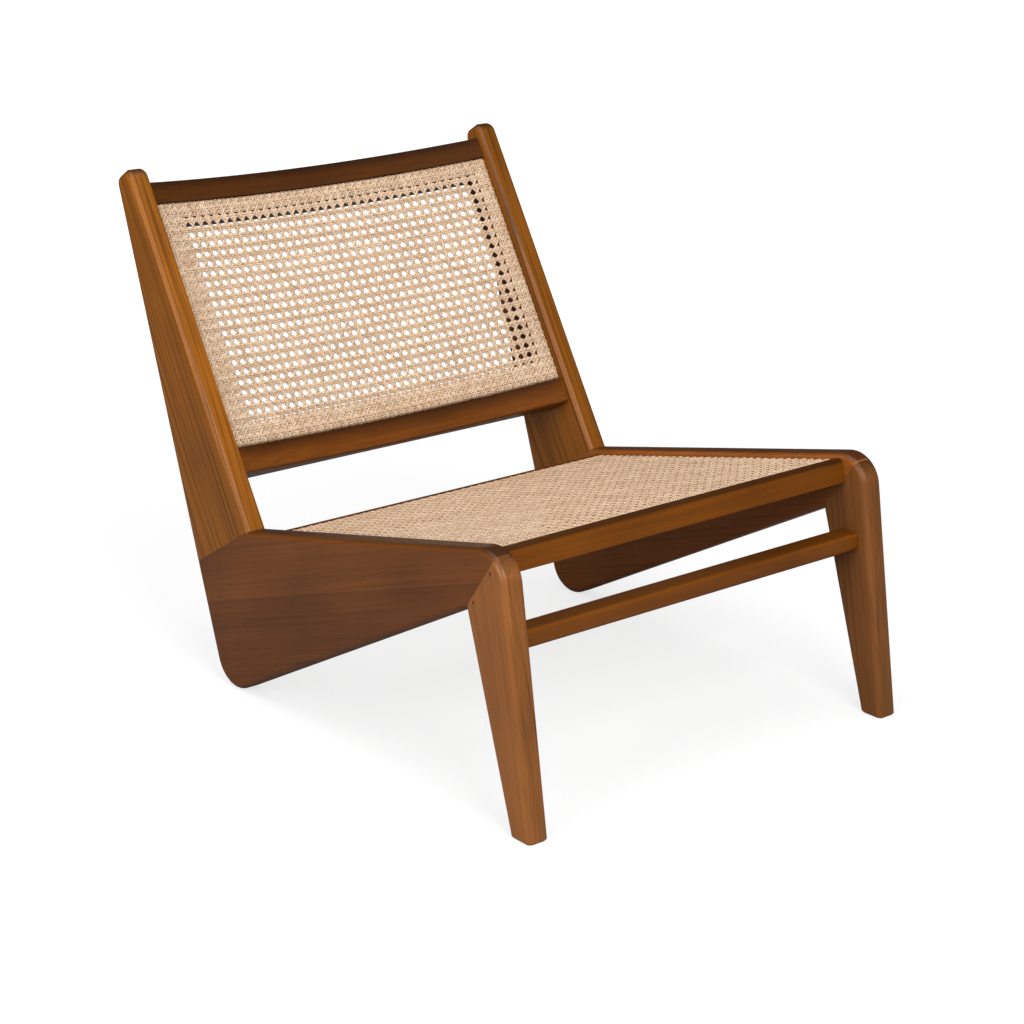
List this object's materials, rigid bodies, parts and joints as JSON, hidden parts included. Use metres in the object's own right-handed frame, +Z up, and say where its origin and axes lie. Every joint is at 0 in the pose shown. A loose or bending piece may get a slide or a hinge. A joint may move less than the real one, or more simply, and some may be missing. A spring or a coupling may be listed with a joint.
{
  "type": "low lounge chair",
  "caption": "Low armless lounge chair with tapered wooden side boards that form legs and tail, a raked seat and a bowed back, both panels covered in woven cane.",
  "frame": {"origin": "on the floor, under the middle of the chair's box", "axes": "+Z up, +X to the sitter's left, the seat faces -Y"},
  "size_m": [0.56, 0.7876, 0.6018],
  "materials": {
    "upright_wood": "oiled, satin, amber brown",
    "panel_wood": "oiled, satin, dark brown",
    "rail_wood": "oiled, satin, mid brown",
    "cane": "natural woven cane, matt",
    "hidden_wood": "plain sawn",
    "peg": "dark, flush"
  },
  "bodies": {
    "root": {"back_upright_left": "upright_wood", "back_upright_right": "upright_wood", "side_panel_left": "panel_wood", "side_panel_right": "panel_wood", "front_leg_left": "upright_wood", "front_leg_right": "upright_wood", "mitre_tenon_left": "hidden_wood", "mitre_tenon_right": "hidden_wood", "upright_tenon_left": "hidden_wood", "upright_tenon_right": "hidden_wood", "seat_cleat_left": "rail_wood", "seat_cleat_right": "rail_wood", "seat_front_rail": "rail_wood", "seat_back_rail": "rail_wood", "front_stretcher": "rail_wood", "back_bottom_rail": "rail_wood", "back_top_rail": "rail_wood", "back_frame_top": "hidden_wood", "back_frame_bottom": "hidden_wood", "back_frame_stile_left": "hidden_wood", "back_frame_stile_right": "hidden_wood", "seat_frame_front": "hidden_wood", "seat_frame_back": "hidden_wood", "seat_frame_side_left": "hidden_wood", "seat_frame_side_right": "hidden_wood", "back_cane_left": "cane", "back_cane": "cane", "back_cane_right": "cane", "seat_cane": "cane", "mitre_pegs": "peg", "back_keys": "hidden_wood"}
  },
  "joints": []
}
